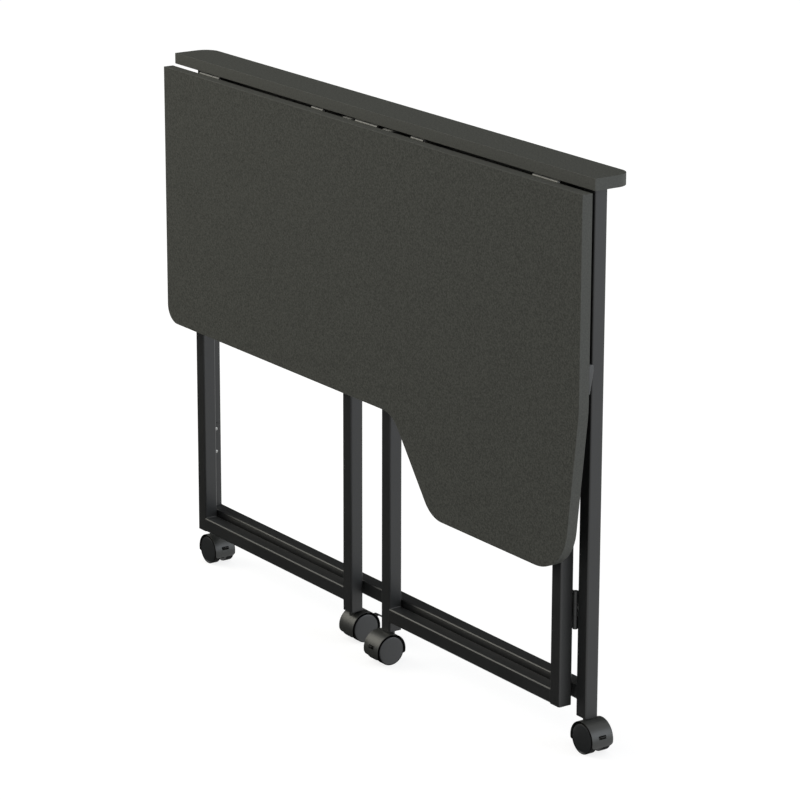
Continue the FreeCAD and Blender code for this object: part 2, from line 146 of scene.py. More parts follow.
class DeskColours(bpy.types.PropertyGroup):
    """Colours of the finishes."""
    laminate: colour("Laminate", "Dark olive grey melamine laminate", "#3C3D39")
    edging: colour("Edging", "Plastic edging in the laminate's shade", "#3F403C")
    powder: colour("Powder coat", "Black powder coat on the steel tubes", "#1A1B1B")
    zinc: colour("Zinc", "Dull zinc plate of the leaf hinges and screws", "#4A4A49")
    nickel: colour("Nickel", "Bright nickel plate of the gate hinges' screws", "#A8A8A6")
    steel: colour("Steel", "Ground steel of pins, axles and stems", "#B4B4B2")
    hood: colour("Hood", "Moulded nylon of the caster hoods", "#2A2B29")
    cap: colour("Cap", "Moulded nylon of the wheels' caps", "#1C1E1F")
    tread: colour("Tread", "Black polyurethane of the treads", "#0B0B0B")
    lever: colour("Lever", "Moulded nylon of the brake levers", "#131312")
    plug: colour("Plugs", "Black polyethylene of plugs and sockets", "#1A1A1A")
    pad: colour("Pads", "Grey polyethylene of the pads under the top board", "#666662")
    stop: colour("Gate stops", "Black plastic of the gate stops", "#333434")


# Outlines and lofts

ARC_STEP = math.radians(4)


def sweep(start, end, steps):
    """Evenly spaced values from a start to an end, both among them."""
    return [start + (end - start) * k / steps for k in range(steps + 1)]


def ramp(value, start, end):
    """Nought up to the start, one from the end on, and an even rise between."""
    return max(0.0, min(1.0, (value - start) / (end - start)))


def eased(value, start, end):
    """As the ramp, but level at the start and at the end."""
    t = ramp(value, start, end)
    return 3 * t ** 2 - 2 * t ** 3


def rounded(corners):
    """Points of a closed outline through (a, b, radius) corners, with an arc wherever there is a radius."""
    points = []
    for i, (a, b, radius) in enumerate(corners):
        corner = Vector((a, b))
        if not radius:
            points.append(corner)
            continue
        before = (Vector(corners[i - 1][:2]) - corner).normalized()
        after = (Vector(corners[(i + 1) % len(corners)][:2]) - corner).normalized()
        half = before.angle(after) / 2
        centre = corner + (before + after).normalized() * (radius / math.sin(half))
        spoke = corner + before * (radius / math.tan(half)) - centre
        turn = math.copysign(math.pi - 2 * half, after.cross(before))
        steps = max(3, round(abs(turn) / ARC_STEP))
        points += [centre + Matrix.Rotation(t, 2) @ spoke for t in sweep(0, turn, steps)]
    return points


def rectangle(low, high, radius):
    """Outline of a rectangle between two (a, b) corners, all its corners rounded alike."""
    return rounded([(low[0], low[1], radius), (high[0], low[1], radius), (high[0], high[1], radius),
                    (low[0], high[1], radius)])


def inset(points, distance):
    """An outline that runs counter-clockwise, moved inwards by a distance."""
    moved = []
    for i, p in enumerate(points):
        before = (p - points[i - 1]).normalized()
        after = (points[(i + 1) % len(points)] - p).normalized()
        inward = [Vector((-d.y, d.x)) for d in (before, after)]
        moved.append(p + (inward[0] + inward[1]) * (distance / (1 + inward[0].dot(inward[1]))))
    return moved


def loft(bm, rings, looped=False):
    """Skin through rings of as many points each. Looped joins the last ring to the first."""
    rows = [[bm.verts.new(p) for p in ring] for ring in rings]
    count = len(rows[0])
    for i in range(len(rows) - (0 if looped else 1)):
        low, high = rows[i], rows[(i + 1) % len(rows)]
        for k in range(count):
            bm.faces.new((low[k], low[(k + 1) % count], high[(k + 1) % count], high[k]))
    if not looped:
        bm.faces.new(list(reversed(rows[0])))
        bm.faces.new(rows[-1])


def slab(bm, points, place, profile, looped=False):
    """Skin of an outline pushed through a profile of (inset, depth) steps."""
    loft(bm, [[place(p.x, p.y, depth) for p in inset(points, step)] for step, depth in profile], looped)


def spun(bm, path, place, sides):
    """Skin of a path of (radius, height) points spun about an axis. A radius of zero closes it."""
    turns = sweep(0, 2 * math.pi, sides)[:-1]
    rows = []
    for radius, height in path:
        spots = [(radius * math.cos(t), radius * math.sin(t)) for t in turns] if radius else [(0, 0)]
        rows.append([bm.verts.new(place(a, b, height)) for a, b in spots])
    for low, high in zip(rows, rows[1:]):
        for k in range(sides):
            near = [low[k % len(low)], low[(k + 1) % len(low)]]
            far = [high[(k + 1) % len(high)], high[k % len(high)]]
            bm.faces.new(list(dict.fromkeys(near + far)))


def quarter(radius, steps=4):
    """Points of a quarter round from (0, radius) to (radius, 0), as (inset, depth) steps."""
    return [(radius - radius * math.cos(t), radius - radius * math.sin(t))
            for t in sweep(0, math.pi / 2, steps)]


def round_ends(radius, foot, top):
    """Profile of (inset, depth) steps from a foot to a top, the edges of both rounded."""
    ends = quarter(radius)
    rise = [(step, foot + depth) for step, depth in reversed(ends)]
    return rise + [(step, top - depth) for step, depth in ends]


def axes(middle, first, second, third):
    """Gives the place of (a, b, c) along three directions about a middle."""
    return lambda a, b, c: middle + first * a + second * b + third * c


def placed(name, bm, material):
    """Object from a mesh that is in place, linked to the scene."""
    mesh = bpy.data.meshes.new(name)
    bm.to_mesh(mesh)
    bm.free()
    mesh.materials.append(material)
    made = bpy.data.objects.new(name, mesh)
    bpy.context.scene.collection.objects.link(made)
    return made


def piece(name, bm, material, body, replaced=(), sharp=40):
    """Smooth object that rides on a body, with the nodes that it stands for hidden."""
    bmesh.ops.recalc_face_normals(bm, faces=bm.faces)
    made = placed(name, bm, material)
    made.data.shade_smooth()
    made.data.set_sharp_from_angle(angle=math.radians(sharp))
    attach(made, body)
    if replaced:
        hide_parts(*replaced)


def dress(material, *names):
    """Gives solid-model nodes a finish."""
    for name in names:
        node = frame["nodes"][name]
        for i in range(len(node.material_slots)):
            node.material_slots[i].material = material


# Finishes

def blank(name):
    """Material with an empty node tree, and that tree."""
    material = bpy.data.materials.get(name) or bpy.data.materials.new(name)
    material.use_nodes = True
    material.node_tree.nodes.clear()
    return material, material.node_tree


def add(tree, kind, settings=(), inputs=()):
    """Adds a node with its settings. An input that is a socket is linked, and any other value is set."""
    made = tree.nodes.new(kind)
    for name, value in dict(settings).items():
        setattr(made, name, value)
    for name, value in dict(inputs).items():
        if isinstance(value, bpy.types.NodeSocket):
            tree.links.new(value, made.inputs[name])
        else:
            made.inputs[name].default_value = value
    return made


def pattern(millimetres, detail, roughness=0.5):
    """Inputs of a noise, in object coordinates of metres, for features of a real size."""
    return {"Scale": 1 / (millimetres * MM), "Detail": detail, "Roughness": roughness}


def finish(name, base, grain, shades, dullness, surface, spread=(0.0, 1.0), relief=None, peel=None):
    """Material whose colour and roughness follow a grain between two values each.

    Shades are factors on the base colour, and spread is the part of the grain that leads from one to the
    other. Relief is a bump that follows the grain, or the peel if there is one.
    """
    material, tree = blank(name)
    place = add(tree, "ShaderNodeTexCoord").outputs["Object"]
    noise = add(tree, "ShaderNodeTexNoise", {}, {"Vector": place, **grain}).outputs["Fac"]
    lead = add(tree, "ShaderNodeMapRange", {}, {"Value": noise, "From Min": spread[0], "From Max": spread[1]})
    tones = [[c * factor for c in base[:3]] + [1.0] for factor in shades]
    tone = add(tree, "ShaderNodeMix", {"data_type": "RGBA"}, {0: lead.outputs[0], 6: tones[0], 7: tones[1]})
    rough = add(tree, "ShaderNodeMapRange", {},
                {"Value": noise, "To Min": dullness[0], "To Max": dullness[1]})
    inputs = {"Base Color": tone.outputs[2], "Roughness": rough.outputs[0], **surface}
    if relief:
        height = noise
        if peel:
            height = add(tree, "ShaderNodeTexNoise", {}, {"Vector": place, **peel}).outputs["Fac"]
        inputs["Normal"] = add(tree, "ShaderNodeBump", {}, {"Height": height, **relief}).outputs[0]
    shader = add(tree, "ShaderNodeBsdfPrincipled", {}, inputs)
    add(tree, "ShaderNodeOutputMaterial", {}, {"Surface": shader.outputs[0]})
    return material


def melamine_laminate(base):
    """Melamine laminate, pressed against a pebbled plate.

    Matt, with an even fine grain that breaks up reflections, and a speckle of paler pips in its print.
    The grain of about 0.6 mm is drawn at 2.4 mm so that it shows.
    """
    return finish("melamine_laminate", base, pattern(2.4, detail=3.0, roughness=0.7),
                  shades=(0.56, 1.48), dullness=(0.60, 0.80), spread=(0.32, 0.68),
                  surface={"IOR": 1.5, "Specular IOR Level": 0.2},
                  relief={"Strength": 0.35, "Distance": 0.2 * MM})


def abs_edging(base):
    """ABS edging, extruded, then printed and embossed to go with the boards.

    Satin, a little lighter and smoother than the boards, with their speckle and grain at half the strength.
    The grain of about 0.6 mm is drawn at 2.4 mm so that it shows.
    """
    return finish("abs_edging", base, pattern(2.4, detail=3.0, roughness=0.7),
                  shades=(0.74, 1.28), dullness=(0.52, 0.66), spread=(0.32, 0.68),
                  surface={"IOR": 1.53, "Specular IOR Level": 0.3},
                  relief={"Strength": 0.2, "Distance": 0.15 * MM})


def satin_powder_coat(base):
    """Satin black polyester powder coat, baked on steel.

    Flows out to a soft orange peel, so edges carry a broad light line and flats a low wavering sheen, which
    drifts over 60 mm or so. The peel of about 1 mm is drawn at 2.2 mm so that it shows.
    """
    return finish("satin_powder_coat", base, pattern(60, detail=2.0),
                  shades=(0.85, 1.15), dullness=(0.34, 0.44),
                  surface={"IOR": 1.5, "Specular IOR Level": 0.5},
                  relief={"Strength": 0.12, "Distance": 0.2 * MM},
                  peel=pattern(2.2, detail=2.0, roughness=0.4))


def plated_steel(name, base):
    """Steel, plated with dull zinc or bright nickel.

    Slightly uneven, with patches of dull and clear plating a few millimetres across.
    """
    return finish(name, base, pattern(6, detail=4.0),
                  shades=(0.85, 1.0), dullness=(0.24, 0.42), surface={"Metallic": 1.0})


def ground_steel(base):
    """Bright drawn steel rod, ground round.

    Clear highlights, slightly frosted by fine marks. The 0.05 mm marks are drawn at 0.4 mm so that they show.
    """
    return finish("ground_steel", base, pattern(0.4, detail=2.0),
                  shades=(0.88, 1.0), dullness=(0.22, 0.34), surface={"Metallic": 1.0})


def moulded_plastic(name, base, dullness, gloss):
    """Nylon, polyethylene or the like, injection moulded in a fine spark-eroded tool.

    A soft even sheen with a very fine grain. The grain of 0.05 mm is drawn at 1.2 mm so that it shows.
    """
    return finish(name, base, pattern(1.2, detail=2.0),
                  shades=(0.9, 1.1), dullness=(dullness - 0.05, dullness + 0.05),
                  surface={"IOR": 1.53, "Specular IOR Level": gloss},
                  relief={"Strength": 0.1, "Distance": 0.05 * MM})


def cast_polyurethane(base):
    """Black polyurethane, cast round the wheel.

    Nearly matt and even, a little dulled by the floor. The floor's scuffs of about 1 mm are drawn at 2 mm.
    """
    return finish("cast_polyurethane", base, pattern(2.0, detail=4.0),
                  shades=(0.8, 1.4), dullness=(0.65, 0.8), surface={"IOR": 1.5, "Specular IOR Level": 0.08})


# Boards

def seam_side(step, lean, seam, thick):
    """Profile of a side in the seam, with a fine chamfer at both faces."""
    return [(step + lean, 0), (step, seam), (step, thick - seam), (step + lean, thick)]


def banded_board(name, points, place, thick, sizes, finishes, body):
    """A laminated board and the edging glued round it, with a fine seam between them."""
    laminate, edging = finishes
    band, seam = sizes.band, sizes.seam
    core = bmesh.new()
    slab(core, points, place, seam_side(band + seam / 2, seam / 2, seam, thick))
    piece(name, core, laminate, body, [name])
    near = quarter(sizes.arris)
    far = [(step, thick - depth) for step, depth in reversed(near)]
    # Two more steps beside the arrises keep the edging's face flat under smooth shading
    flat = [(0, thick - 2 * sizes.arris), (0, 2 * sizes.arris)]
    edge = bmesh.new()
    slab(edge, points, place, near + seam_side(band, -seam / 2, seam, thick) + far + flat, looped=True)
    piece(name + "_edge_band", edge, edging, body, [name + "_edge_band"])


def strip_outline(sizes):
    """Outline of the top board seen from above."""
    low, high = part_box("top_board_edge_band")
    return rounded([(low.x, low.y, 0), (high.x, low.y, 0), (high.x, high.y, sizes.strip_corner),
                    (low.x, high.y, sizes.strip_corner)])


def leaf_outline(sizes):
    """Outline of the hanging leaf seen from the front, its tongue at the right."""
    low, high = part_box("drop_leaf_edge_band")
    short = high.z - sizes.leaf_short
    return rounded([(low.x, high.z, 0), (low.x, short, sizes.leaf_corner),
                    (sizes.neck, short, sizes.neck_radius), (sizes.tongue_left, low.z, sizes.neck_radius),
                    (sizes.tongue_right, low.z, sizes.tongue_corner),
                    (high.x, high.z - sizes.taper_drop, sizes.taper_radius), (high.x, high.z, 0)])


class DESK_OT_boards(bpy.types.Operator):
    """Builds the top board and the hanging leaf, each with its edging"""
    bl_idname = "desk.boards"
    bl_label = "Boards"

    def execute(self, context):
        sizes = context.scene.desk_boards
        colours = context.scene.desk_colours
        finishes = (melamine_laminate(colours.laminate), abs_edging(colours.edging))
        low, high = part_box("top_board")
        banded_board("top_board", strip_outline(sizes), lambda a, b, d: Vector((a, b, low.z + d)),
                     high.z - low.z, sizes, finishes, "frame")
        low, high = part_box("drop_leaf")
        banded_board("drop_leaf", leaf_outline(sizes), lambda a, b, d: Vector((a, low.y + d, b)),
                     high.y - low.y, sizes, finishes, "leaf")
        return {"FINISHED"}


class DESK_OT_gate_stops(bpy.types.Operator):
    """Builds the two tapered blocks on the leaf's back that the opened gates come to rest against"""
    bl_idname = "desk.gate_stops"
    bl_label = "Gate stops"
    thin: length("Thin end", "Thickness of a block at its foot", 2.0)
    head: length("Head", "Height of a block's straight head", 9.0)
    nose: length("Nose", "Radius of the head's corners", 2.5)
    width: length("Width", "Width of a block", 24.0)

    def execute(self, context):
        low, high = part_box("gate_stops")
        outline = rounded([(low.y, low.z, 0), (low.y + self.thin, low.z, 0),
                           (high.y, high.z - self.head, self.nose), (high.y, high.z, self.nose),
                           (low.y, high.z, 0)])
        profile = round_ends(context.scene.desk_boards.stop_round, 0, self.width)
        bm = bmesh.new()
        for start in (low.x, high.x - self.width):
            slab(bm, outline, lambda a, b, d: Vector((start + d, a, b)), profile)
        colours = context.scene.desk_colours
        plastic = moulded_plastic("moulded_stop_plastic", colours.stop, dullness=0.45, gloss=0.5)
        piece("gate_stops", bm, plastic, "leaf", ["gate_stops"])
        return {"FINISHED"}


# Frames

class DESK_OT_frames(bpy.types.Operator):
    """Finishes the welded tubes and the caster sockets in their feet"""
    bl_idname = "desk.frames"
    bl_label = "Frames"

    def execute(self, context):
        colours = context.scene.desk_colours
        tubes = [name for name in frame["nodes"] if name.startswith(("rear_", "gate_left", "gate_right"))]
        dress(satin_powder_coat(colours.powder), *tubes)
        plastic = moulded_plastic("moulded_polyethylene", colours.plug, dullness=0.5, gloss=0.5)
        dress(plastic, "caster_sockets")
        return {"FINISHED"}


class DESK_OT_plugs(bpy.types.Operator):
    """Builds the plugs in the gate posts' ends, and the grey pads on the inner posts under the top board"""
    bl_idname = "desk.plugs"
    bl_label = "Plugs and pads"
    wall: length("Tube wall", "From a post's side to its plug", 1.2)
    setback: length("Pad setback", "From a post's side to its pad", 0.75)
    corner: length("Corner", "Radius of the upright edges", 1.3)
    depth: length("Depth", "How far a plug reaches into its post", 10.0)
    arris: length("Arris", "Rounding of the ends' edges", 0.4)

    def execute(self, context):
        colours = context.scene.desk_colours
        plugs = bmesh.new()
        pads = bmesh.new()
        pad_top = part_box("tube_end_plugs")[1].z
        for gate in ("gate_left", "gate_right"):
            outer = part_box(gate + "_outer_post")
            self.block(plugs, outer, self.wall, outer[0].z, outer[0].z + self.depth)
            self.block(plugs, outer, self.wall, outer[1].z - self.depth, outer[1].z)
            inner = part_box(gate + "_inner_post")
            self.block(plugs, inner, self.wall, inner[1].z - self.depth, inner[1].z)
            self.block(pads, inner, self.setback, inner[1].z, pad_top)
        black_plastic = moulded_plastic("moulded_polyethylene", colours.plug, dullness=0.5, gloss=0.5)
        grey_plastic = moulded_plastic("moulded_grey_polyethylene", colours.pad, dullness=0.5, gloss=0.5)
        piece("tube_end_plugs", plugs, black_plastic, "frame", ["tube_end_plugs"])
        piece("gate_post_pads", pads, grey_plastic, "frame")
        return {"FINISHED"}

    def block(self, bm, post, setback, foot, top):
        """A square block set back from a post's sides, with rounded ends."""
        margin = Vector((setback, setback))
        outline = rectangle(post[0].xy + margin, post[1].xy - margin, self.corner)
        slab(bm, outline, lambda a, b, d: Vector((a, b, d)), round_ends(self.arris, foot, top))


class DESK_OT_welds(bpy.types.Operator):
    """Builds the weld beads, ground nearly flush, where the rails' ends meet the posts"""
    bl_idname = "desk.welds"
    bl_label = "Welds"
    tube_corner: length("Tube corner", "Radius of the tubes' corners", 2.5)
    leg: length("Leg", "Leg of a bead above and below a rail", 0.8)
    proud: length("Proud", "How far a ground bead stands above the tubes' front and back", 0.03)
    bury: length("Bury", "How far a bead's edges reach into the tubes", 0.3)
    clear: length("Clearance", "From a post's end to the bead at least", 0.05)

    def execute(self, context):
        bm = bmesh.new()
        for side, posts in (("rear", ("rear_post_left", "rear_post_right")),
                            ("gate_left", ("gate_left_outer_post", "gate_left_inner_post")),
                            ("gate_right", ("gate_right_inner_post", "gate_right_outer_post"))):
            for rail in (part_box(side + "_top_rail"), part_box(side + "_bottom_rail")):
                for post, end, inward in zip(posts, rail, (1, -1)):
                    self.bead(bm, rail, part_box(post), end.x, inward)
        coat = satin_powder_coat(context.scene.desk_colours.powder)
        piece("tube_welds", bm, coat, "frame")
        return {"FINISHED"}

    def bead(self, bm, rail, post, joint, inward):
        """One bead round a rail's end: a fillet above and below it, and a filled groove in front and behind.

        Both sections have five points, each (out from the rail's side, along the rail), so that one can pass
        into the other round the rail's corners. Their factors make both of them slightly full.
        """
        leg, proud, bury, corner = self.leg, self.proud, self.bury, self.tube_corner
        fillet = [(-bury, leg + bury), (0.28 * leg, 0.78 * leg), (0.55 * leg, 0.55 * leg),
                  (0.78 * leg, 0.28 * leg), (leg + bury, -bury)]
        groove = [(-bury, 1.5 * leg), (0.7 * proud, 0.5 * leg), (proud, -0.5 * corner),
                  (0.7 * proud, -1.1 * corner), (-bury, -1.6 * corner)]
        lowest, highest = post[0].z + self.clear, post[1].z - self.clear
        around = rectangle(rail[0].yz, rail[1].yz, corner)
        rings = []
        for here, out in zip(around, inset(around, -leg)):
            outward = (out - here).normalized()
            upright = outward.y ** 2
            ring = []
            for (up, along), (flush, across) in zip(fillet, groove):
                spot = here + outward * (upright * up + (1 - upright) * flush)
                x = joint + inward * (upright * along + (1 - upright) * across)
                ring.append(Vector((x, spot.x, min(max(spot.y, lowest), highest))))
            rings.append(ring)
        loft(bm, rings, looped=True)


class DESK_OT_hinges(bpy.types.Operator):
    """Finishes the plated leaf hinges, the painted gate hinges and their pins"""
    bl_idname = "desk.hinges"
    bl_label = "Hinges"

    def execute(self, context):
        colours = context.scene.desk_colours
        zinc = plated_steel("zinc_plated_steel", colours.zinc)
        dress(zinc, "leaf_hinge_board_plates", "leaf_hinge_leaf_plates")
        dress(satin_powder_coat(colours.powder), "gate_hinge_post_plates", "gate_hinge_gate_plates",
              "gate_hinge_pins")
        dress(ground_steel(colours.steel), "leaf_hinge_pins", "caster_stems")
        return {"FINISHED"}


# Casters

def caster_place(foot):
    """Gives the place of (a, w, b) about a caster's axle: along its trail, along the axle and up."""
    axle = JOINTS[foot + "_wheel_1_spin"]
    trail = (axle - JOINTS[foot + "_swivel"]).xy.to_3d().normalized()
    return axes(axle, trail, UP.cross(trail), UP)


class DESK_OT_hoods(bpy.types.Operator):
    """Builds the four caster hoods, each with its web, stem collar and slot for the brake lever"""
    bl_idname = "desk.hoods"
    bl_label = "Caster hoods"
    end: angle("End", "How far below the axle the hood reaches", 20)
    end_round: length("End rounding", "Radius of the corners at the hood's two ends", 5.0)
    lip: length("Lip", "Depth of the slope inside the hood's side edges", 7.0)
    collar: length("Collar", "Radius of the collar round the stem", 4.8)
    collar_drop: length("Collar drop", "How far the collar reaches down into the hood", 14.0)
    collar_edge: length("Collar edge", "Chamfer of the collar's top edge", 0.4)
    slot_half: length("Slot half width", "From the middle to the side of the lever's slot", 5.6)
    slot_low: length("Slot foot", "Foot of the lever's slot above the axle", 3.2)
    slot_high: length("Slot head", "Head of the lever's slot above the axle", 7.6)
    web_lead: length("Web lead", "From the axle to the web's edge on the stem's side", 16.5)
    web_trail: length("Web trail", "From the axle to the web's edge on the lever's side", 4.0)
    web_foot: length("Web foot", "From the axle down to the web's foot", 5.5)
    steps: IntProperty(name="Steps", description="Steps from the slot to the far side", default=28, min=6)

    def execute(self, context):
        sizes = context.scene.desk_casters
        colours = context.scene.desk_colours
        nylon = moulded_plastic("moulded_nylon_hood", colours.hood, dullness=0.4, gloss=0.42)
        for foot in FEET:
            place = caster_place(foot)
            node = "caster_%s_hood" % foot
            bm = bmesh.new()
            self.cover(bm, sizes, place)
            self.web(bm, sizes, place)
            self.neck(bm, place, foot, node)
            piece(node, bm, nylon, foot + "_caster", [node])
        return {"FINISHED"}

    def section(self, sizes):
        """Round the hood's wall, as (radius, width) points: over the outside, then back along the inside."""
        outer, half, rim = sizes.hood_radius, sizes.hood_half, sizes.hood_rim
        inner = outer - sizes.hood_wall
        edge = [(outer - depth, half - step) for step, depth in quarter(rim)]
        # A narrow flat past the rounding keeps it crisp under smooth shading
        flat = (outer - 1.2 * rim, half)
        over = [(outer, self.slot_half), *reversed(edge), flat,
                (inner, half - self.lip), (inner, self.slot_half)]
        return over + [(r, -w) for r, w in reversed(over)]

    def cover(self, bm, sizes, place):
        """Curved wall over both wheels, open at the lever's slot and with its four corners rounded off."""
        points = self.section(sizes)
        middle = sizes.hood_radius - sizes.hood_wall / 2
        slot = [math.asin(b / middle) for b in (self.slot_low, self.slot_high)]
        # Each row has a turn about the axle, and a pull that draws its sides in at the rounded corners
        corner = quarter(self.end_round, steps=6)
        close = [step / sizes.hood_radius for step, pull in corner]
        turns = [c - self.end for c in close] + [0.0, slot[0], *sweep(slot[1], math.pi, self.steps)]
        turns += [math.pi + self.end - c for c in reversed(close)]
        pulls = [pull for step, pull in corner]
        pulls += [0.0] * (len(turns) - 2 * len(pulls)) + pulls[::-1]
        rows = []
        for t, pull in zip(turns, pulls):
            half = sizes.hood_half - pull
            ring = [(r, max(-half, min(half, w))) for r, w in points]
            rows.append([bm.verts.new(place(r * math.cos(t), w, r * math.sin(t))) for r, w in ring])
        count = len(points)
        outside = count - 1
        inside = count // 2 - 1
        open_row = turns.index(slot[0])
        for i in range(len(rows) - 1):
            for k in range(count):
                if i == open_row and k in (outside, inside):
                    continue
                following = (k + 1) % count
                bm.faces.new((rows[i][k], rows[i][following], rows[i + 1][following], rows[i + 1][k]))
        bm.faces.new(rows[0])
        bm.faces.new(rows[-1])
        low, high = rows[open_row], rows[open_row + 1]
        ring = (0, outside, inside + 1, inside)
        bm.faces.new([low[k] for k in ring])
        bm.faces.new([high[k] for k in ring])
        bm.faces.new((low[0], low[inside], high[inside], high[0]))
        bm.faces.new((low[outside], low[inside + 1], high[inside + 1], high[outside]))

    def web(self, bm, sizes, place):
        """Wall between the wheels that holds axle and stem."""
        reach = sizes.hood_radius - sizes.hood_wall / 2
        lead = math.acos(-self.web_lead / reach)
        trail = math.acos(self.web_trail / reach)
        outline = [Vector((reach * math.cos(t), reach * math.sin(t))) for t in sweep(trail, lead, steps=12)]
        outline += [Vector((-self.web_lead, -self.web_foot)), Vector((self.web_trail, -self.web_foot))]
        slab(bm, outline, lambda a, b, d: place(a, d, b), [(0, -sizes.web_half), (0, sizes.web_half)])

    def neck(self, bm, place, foot, node):
        """Collar that stands up to the post's foot, with a broken top edge."""
        axle = JOINTS[foot + "_wheel_1_spin"]
        trail = (axle - JOINTS[foot + "_swivel"]).xy.length
        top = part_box(node)[1].z - axle.z
        low = top - self.collar_drop
        path = [(0, low), (self.collar, low), (self.collar, top - self.collar_edge),
                (self.collar - self.collar_edge, top), (0, top)]
        spun(bm, path, lambda a, b, h: place(a - trail, b, h), sides=32)


class DESK_OT_wheels(bpy.types.Operator):
    """Builds the eight wheels, each a domed cap and hub in a black tread, and finishes their axles"""
    bl_idname = "desk.wheels"
    bl_label = "Wheels"
    bore: length("Bore", "Radius of the hole for the axle", 2.55)
    bore_depth: length("Bore depth", "Depth of the hole for the axle", 8.0)
    hub: length("Hub", "Radius of the hub round the axle", 5.0)
    dish: length("Dish", "Depth of the hollow round the hub", 2.5)
    shoulder: length("Shoulder", "Rounding of the tread's two shoulders", 0.4)
    gap: length("Groove", "Groove between cap and tread", 0.25)
    sides: IntProperty(name="Sides", description="Sides of each round", default=72, min=12)

    def execute(self, context):
        sizes = context.scene.desk_casters
        colours = context.scene.desk_colours
        nylon = moulded_plastic("moulded_nylon_cap", colours.cap, dullness=0.38, gloss=0.5)
        rubber = cast_polyurethane(colours.tread)
        steel = ground_steel(colours.steel)
        for foot in FEET:
            place = caster_place(foot)
            dress(steel, "caster_%s_axle" % foot)
            for number, side in ((1, -1), (2, 1)):
                node = "caster_%s_wheel_%d" % (foot, number)
                body = "%s_wheel_%d" % (foot, number)
                cap = bmesh.new()
                spun(cap, self.cap_path(sizes), lambda a, b, h: place(a, side * h, b), self.sides)
                piece(node, cap, nylon, body, [node])
                tread = bmesh.new()
                spun(tread, self.tread_path(sizes), lambda a, b, h: place(a, side * h, b), self.sides)
                bmesh.ops.remove_doubles(tread, verts=tread.verts, dist=0.001 * MM)
                piece(node + "_tread", tread, rubber, body)
        return {"FINISHED"}

    def cap_path(self, sizes):
        """From the bore's end, round the hub and the hollow, and over the dome to its middle."""
        rim = sizes.cap_radius - self.gap
        inner = sizes.wheel_inner
        hollow = inner + self.dish
        end = inner + self.bore_depth
        edge = sizes.wheel_outer - sizes.cap_dome
        dome = [(rim * math.cos(t), edge + sizes.cap_dome * math.sin(t))
                for t in sweep(0, math.pi / 2, steps=10)]
        return [(0, end), (self.bore, end), (self.bore, inner), (self.hub, inner), (self.hub, hollow),
                (rim - self.dish, hollow), (rim - self.dish, inner), (rim, inner), *dome[:-1],
                (0, sizes.wheel_outer)]

    def tread_path(self, sizes):
        """Once round the tread's section, which has rounded shoulders."""
        outer = sizes.wheel_radius
        low = sizes.wheel_inner
        high = sizes.wheel_outer - sizes.tread_sink
        start = (sizes.cap_radius, low)
        shoulders = [(outer - step, height) for step, height in round_ends(self.shoulder, low, high)]
        return [start, *shoulders, (sizes.cap_radius, high), start]


